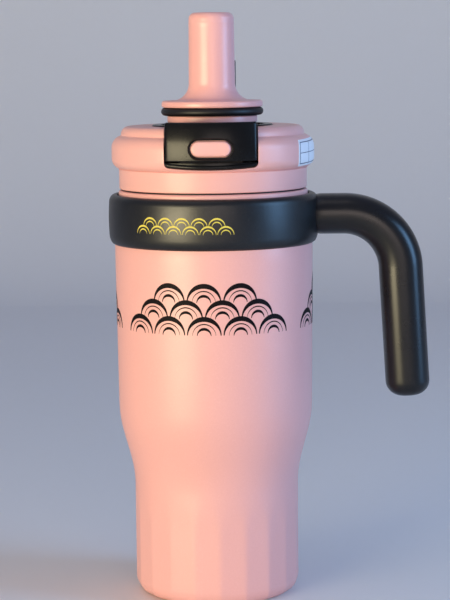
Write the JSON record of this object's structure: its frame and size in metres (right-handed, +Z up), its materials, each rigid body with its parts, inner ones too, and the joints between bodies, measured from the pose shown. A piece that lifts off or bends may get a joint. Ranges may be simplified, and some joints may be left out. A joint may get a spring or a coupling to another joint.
{
  "type": "insulated water bottle",
  "caption": "Insulated steel bottle with a handle collar, a screw lid, a push-button pop-up mouthpiece, a straw and a fold-down carry loop.",
  "frame": {"origin": "centre of the flat base, on the bottle's axis, where it stands", "axes": "+Z up along the bottle's axis, -Y towards the push button (front), +X towards the handle"},
  "size_m": [0.1396, 0.091, 0.2526],
  "materials": {
    "pink_coat": "fine satin powder coat",
    "steel": "electropolished inside",
    "base_steel": "turned, satin",
    "solder": "fused glass solder",
    "getter": "sintered",
    "frame_black": "satin with fine speckle",
    "grip_black": "soft touch, lightly scuffed",
    "seal_rubber": "smooth silicone",
    "straw_plastic": "clear, slightly cloudy",
    "pink_plastic": "satin moulded",
    "foam": "closed-cell foam",
    "liner_plastic": "satin moulded",
    "insert_black": "fine moulded texture",
    "white_plastic": "acetal, satin",
    "white_silicone": "translucent silicone",
    "spring_steel": "drawn wire",
    "pink_spout": "soft satin"
  },
  "bodies": {
    "flask": {"outer_shell": "pink_coat", "inner_flask": "steel", "shell_bottom": "steel", "base_plate": "base_steel", "vacuum_plug": "solder", "getter": "getter", "handle_frame": "frame_black", "handle_grip": "grip_black", "collar_liner": "seal_rubber"},
    "straw": {"straw": "straw_plastic"},
    "gasket": {"mouth_gasket": "seal_rubber"},
    "lid": {"lid_shell": "pink_plastic", "lid_foam": "foam", "lid_liner": "liner_plastic", "lid_insert": "insert_black", "front_trim": "insert_black", "valve_pin": "white_plastic", "vent_valve": "white_silicone", "popup_spring": "spring_steel", "button_spring": "spring_steel", "loop_pin": "spring_steel"},
    "mouthpiece": {"mouthpiece": "pink_spout", "plug_seal": "seal_rubber", "stem_ring": "seal_rubber"},
    "button": {"button": "pink_plastic", "latch_plate": "liner_plastic"},
    "carry_loop": {"carry_loop": "insert_black"}
  },
  "joints": [
    {"name": "lid_lift", "type": "slide", "parent": "flask", "child": "straw", "axis": [0, 0, 1], "range_m": [0, 0.19]},
    {"name": "lid_rise", "type": "slide", "parent": "straw", "child": "gasket", "axis": [0, 0, 1], "range_m": [0, 0.006]},
    {"name": "lid_turn", "type": "hinge", "parent": "gasket", "child": "lid", "pos_m": [0, 0, 0.177], "axis": [0, 0, 1], "range_deg": [0, 270]},
    {"name": "mouthpiece_pop", "type": "slide", "parent": "lid", "child": "mouthpiece", "axis": [0, 0, 1], "range_m": [-0.01, 0], "stiffness_N_per_m": 100, "springref_m": 0.02, "deforming": ["popup_spring"]},
    {"name": "button_press", "type": "slide", "parent": "lid", "child": "button", "axis": [0, 1, 0], "range_m": [0, 0.002], "stiffness_N_per_m": 300, "springref_m": -0.004, "deforming": ["button_spring"]},
    {"name": "loop_fold", "type": "hinge", "parent": "lid", "child": "carry_loop", "pos_m": [0, 0.0315, 0.2067], "axis": [-1, 0, 0], "range_deg": [0, 90]}
  ],
  "couplings": [
    {"joint": "lid_rise", "follows": "lid_turn", "m_per_rad": 0.0012732}
  ]
}
